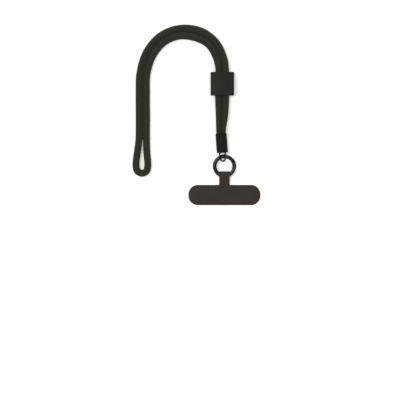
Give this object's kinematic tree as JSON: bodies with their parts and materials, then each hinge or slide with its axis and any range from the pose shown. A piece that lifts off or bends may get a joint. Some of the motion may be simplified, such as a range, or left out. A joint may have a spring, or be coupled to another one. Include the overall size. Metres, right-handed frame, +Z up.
{
  "type": "phone wrist strap",
  "caption": "Doubled black rope wrist strap with a sliding block, a crimped ferrule, a wire eye, a spring gate ring and a flat folded anchor tab that goes under a phone case",
  "frame": {"origin": "centre of the anchor tab's back face, which lies on the table", "axes": "+Y from the tab along the strap towards the top of the rope's arch, +X across, to the right seen from above, +Z up out of the table"},
  "size_m": [0.1073, 0.1511, 0.01],
  "materials": {
    "rope": "braided black polyester rope, matt",
    "block": "moulded black plastic, fine satin",
    "ferrule": "black coated metal, smooth",
    "steel": "blackened steel wire",
    "ring": "dark plated metal, glossy",
    "tab": "soft matt sheet, fine grain"
  },
  "bodies": {
    "strap": {"wrist_cord": "rope", "ferrule": "ferrule", "wire_eye": "steel"},
    "slider": {"slider": "block"},
    "ring": {"ring_body": "ring", "gate_pin": "steel", "gate_spring": "steel"},
    "gate": {"ring_gate": "ring"},
    "tab": {"anchor_tab": "tab"}
  },
  "joints": [
    {"name": "slider_slide", "type": "slide", "parent": "strap", "child": "slider", "axis": [0, -1, 0], "range_m": [-0.001, 0.03]},
    {"name": "ring_swing", "type": "hinge", "parent": "strap", "child": "ring", "pos_m": [-0.00151, 0.03221, 0.00475], "axis": [0.983, 0.1827, 0.0179], "range_deg": [-90, 90]},
    {"name": "gate_open", "type": "hinge", "parent": "ring", "child": "gate", "pos_m": [0.00527, 0.03044, 0.00458], "axis": [0, 0.0974, -0.9952], "range_deg": [0, 25], "stiffness_Nm_per_rad": 0.005},
    {"name": "tab_swing", "type": "hinge", "parent": "ring", "child": "tab", "pos_m": [0, 0.01687, 0.00325], "axis": [1, 0, 0], "range_deg": [-90, 90]}
  ]
}
